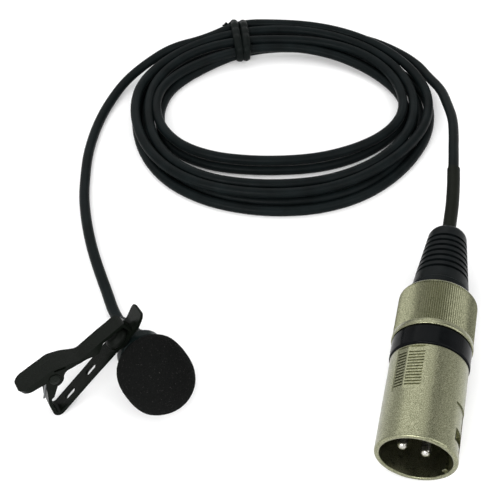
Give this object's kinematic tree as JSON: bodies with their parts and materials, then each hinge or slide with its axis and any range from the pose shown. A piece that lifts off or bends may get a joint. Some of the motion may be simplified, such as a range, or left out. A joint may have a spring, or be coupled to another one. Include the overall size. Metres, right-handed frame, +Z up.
{
  "type": "lavalier microphone",
  "caption": "Lavalier microphone with foam windscreen on a sprung tie clip, its long lead wound into a tied coil and ending in a three-pin barrel plug.",
  "frame": {"origin": "on the table, under the middle of the clip, microphone and foam", "axes": "+Z up from the table; -Y along the plug's pins, out of its mouth; +X from the clip to the plug"},
  "size_m": [0.125, 0.1713, 0.0202],
  "materials": {
    "clip_enamel": "black satin enamel on spring steel",
    "pin_steel": "blackened steel",
    "spring_steel": "oiled spring wire",
    "holder_plastic": "black moulded plastic",
    "mic_enamel": "black enamel on turned brass",
    "capsule_can": "bare drawn can",
    "gasket_rubber": "soft black rubber",
    "grille_metal": "perforated blackened steel",
    "board": "green lacquered board",
    "boot_rubber": "moulded black rubber",
    "foam": "open-cell foam",
    "cable_jacket": "satin black cable jacket",
    "tie_plastic": "plastic-covered wire tie",
    "sleeve_plastic": "shrunk black tubing",
    "shell_nickel": "satin nickel on die-cast zinc",
    "ring_plastic": "glossy black plastic",
    "insert_plastic": "black moulded insulator",
    "contact_silver": "silver plated brass",
    "core_insulation": "coloured wire insulation",
    "clamp_plastic": "black moulded plastic"
  },
  "bodies": {
    "root": {"lower_jaw": "clip_enamel", "hinge_pin": "pin_steel", "torsion_spring": "spring_steel", "mic_holder": "holder_plastic", "holder_rivet": "holder_plastic", "cable_coil": "cable_jacket", "twist_tie": "tie_plastic", "mic_lead": "cable_jacket", "plug_lead": "cable_jacket", "heat_shrink_sleeve": "sleeve_plastic", "plug_shell": "shell_nickel", "insulating_ring": "ring_plastic", "contact_insert": "insert_plastic", "core_wires": "core_insulation", "cable_tail": "cable_jacket", "cable_clamp": "clamp_plastic", "contact_pin_1": "contact_silver", "contact_pin_2": "contact_silver", "contact_pin_3": "contact_silver"},
    "jaw": {"upper_jaw": "clip_enamel"},
    "microphone": {"mic_body": "mic_enamel", "mic_head": "mic_enamel", "capsule": "capsule_can", "capsule_gasket": "gasket_rubber", "grille_cap": "grille_metal", "circuit_board": "board", "cable_bushing": "boot_rubber"},
    "windscreen": {"foam_windscreen": "foam"},
    "boot": {"cable_boot": "boot_rubber"},
    "nut": {"back_nut": "shell_nickel"}
  },
  "joints": [
    {"name": "jaw_hinge", "type": "hinge", "parent": "root", "child": "jaw", "pos_m": [-0.01316, -0.00908, 0.01194], "axis": [0.6494, -0.7087, 0.2756], "range_deg": [0, 28], "stiffness_Nm_per_rad": 0.01, "springref_deg": -68.75, "deforming": ["torsion_spring"]},
    {"name": "mic_turn", "type": "hinge", "parent": "root", "child": "microphone", "pos_m": [0.00342, 0.00604, 0.00633], "axis": [0.6494, -0.7087, 0.2756], "range_deg": [-60, 60]},
    {"name": "foam_pull", "type": "slide", "parent": "microphone", "child": "windscreen", "axis": [0.6494, -0.7087, 0.2756], "range_m": [0, 0.014]},
    {"name": "boot_slide", "type": "slide", "parent": "root", "child": "boot", "axis": [0, 1, 0], "range_m": [0, 0.0045]},
    {"name": "nut_turn", "type": "hinge", "parent": "boot", "child": "nut", "pos_m": [0.0749, -0.01034, 0.0101], "axis": [0, 1, 0], "range_deg": [0, 1080]}
  ],
  "couplings": [
    {"joint": "nut_turn", "follows": "boot_slide", "rad_per_m": 4188.8}
  ]
}
